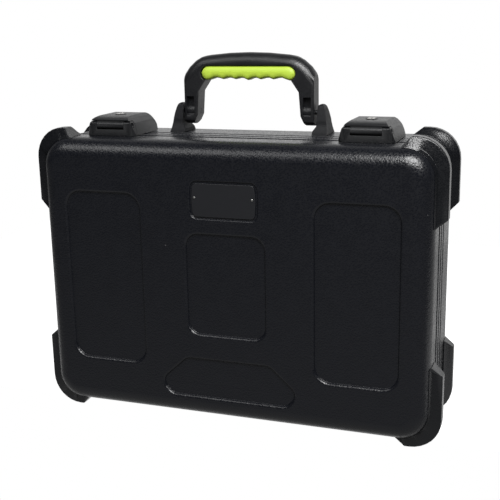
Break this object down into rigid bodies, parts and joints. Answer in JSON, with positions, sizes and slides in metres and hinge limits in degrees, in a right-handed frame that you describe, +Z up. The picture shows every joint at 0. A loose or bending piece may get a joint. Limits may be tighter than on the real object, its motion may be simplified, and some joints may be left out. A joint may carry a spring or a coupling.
{
  "type": "microphone case",
  "caption": "Hard moulded carrying case with a hinged lid, corner bumpers, lever latches, a bail handle with a lime grip and cut foam for handheld microphones.",
  "frame": {"origin": "centre of the bounding box in plan, at the floor under the standing case", "axes": "+X along the case's width to the right of someone who faces the lid, +Y from the lid to the back, +Z up through the handle"},
  "size_m": [0.4686, 0.135, 0.4145],
  "materials": {
    "shell_black": "pebbled moulded ABS",
    "bumper_black": "fine-grained moulded plastic",
    "handle_black": "satin glass-filled nylon",
    "latch_black": "satin to gloss moulded plastic",
    "grip_lime": "soft satin elastomer",
    "foam_grey": "open-cell polyurethane foam",
    "gasket_rubber": "soft sponge rubber",
    "badge_black": "satin, bare",
    "lock_nickel": "nickel plated",
    "black_steel": "black zinc",
    "bare_steel": "zinc plated"
  },
  "bodies": {
    "base": {"base_shell": "shell_black", "base_bumper_top_left": "bumper_black", "base_bumper_top_right": "bumper_black", "base_bumper_bottom_left": "bumper_black", "base_bumper_bottom_right": "bumper_black", "seam_gasket": "gasket_rubber", "base_foam_pad": "foam_grey", "base_foam_tray": "foam_grey", "handle_bracket_left": "handle_black", "handle_pin_left": "black_steel", "handle_bracket_right": "handle_black", "handle_pin_right": "black_steel", "handle_backing_plate": "bare_steel", "latch_strike_left": "black_steel", "latch_spring_left": "bare_steel", "latch_strike_right": "black_steel", "latch_spring_right": "bare_steel", "strike_backing_plate_left": "bare_steel", "strike_backing_plate_right": "bare_steel", "hinge_base_leaf_left": "black_steel", "hinge_pin_left": "bare_steel", "hinge_base_leaf_centre": "black_steel", "hinge_pin_centre": "bare_steel", "hinge_base_leaf_right": "black_steel", "hinge_pin_right": "bare_steel", "hinge_strip_base": "bare_steel"},
    "lid": {"lid_shell": "shell_black", "lid_bumper_top_left": "bumper_black", "lid_bumper_top_right": "bumper_black", "lid_bumper_bottom_left": "bumper_black", "lid_bumper_bottom_right": "bumper_black", "lid_foam": "foam_grey", "badge_plate": "badge_black", "badge_rivet_left": "bare_steel", "badge_rivet_right": "bare_steel", "latch_bracket_left": "latch_black", "latch_pin_left": "bare_steel", "latch_bracket_right": "latch_black", "latch_pin_right": "bare_steel", "latch_backing_plate_left": "bare_steel", "latch_backing_plate_right": "bare_steel", "hinge_lid_leaf_left": "black_steel", "hinge_lid_leaf_centre": "black_steel", "hinge_lid_leaf_right": "black_steel", "hinge_strip_lid": "bare_steel"},
    "handle": {"handle_bail": "handle_black", "handle_grip": "grip_lime"},
    "latch_left": {"latch_lever_left": "latch_black", "latch_hook_left": "black_steel"},
    "latch_right": {"latch_lever_right": "latch_black", "latch_hook_right": "black_steel"},
    "lock_left": {"lock_cylinder_left": "lock_nickel", "lock_cam_left": "bare_steel"},
    "lock_right": {"lock_cylinder_right": "lock_nickel", "lock_cam_right": "bare_steel"}
  },
  "joints": [
    {"name": "lid_hinge", "type": "hinge", "parent": "base", "child": "lid", "pos_m": [0, -0.023, 0.0071], "axis": [1, 0, 0], "range_deg": [0, 105]},
    {"name": "handle_pivot", "type": "hinge", "parent": "base", "child": "handle", "pos_m": [0, 0.027, 0.3488], "axis": [1, 0, 0], "range_deg": [-88, 88]},
    {"name": "latch_left_pivot", "type": "hinge", "parent": "lid", "child": "latch_left", "pos_m": [-0.1463, -0.0316, 0.3371], "axis": [1, 0, 0], "range_deg": [0, 60]},
    {"name": "latch_right_pivot", "type": "hinge", "parent": "lid", "child": "latch_right", "pos_m": [0.1463, -0.0316, 0.3371], "axis": [1, 0, 0], "range_deg": [0, 60]},
    {"name": "lock_left_turn", "type": "hinge", "parent": "latch_left", "child": "lock_left", "pos_m": [-0.1463, -0.008, 0.3431], "axis": [0, 0, 1], "range_deg": [0, 90]},
    {"name": "lock_right_turn", "type": "hinge", "parent": "latch_right", "child": "lock_right", "pos_m": [0.1463, -0.008, 0.3431], "axis": [0, 0, 1], "range_deg": [0, 90]}
  ]
}
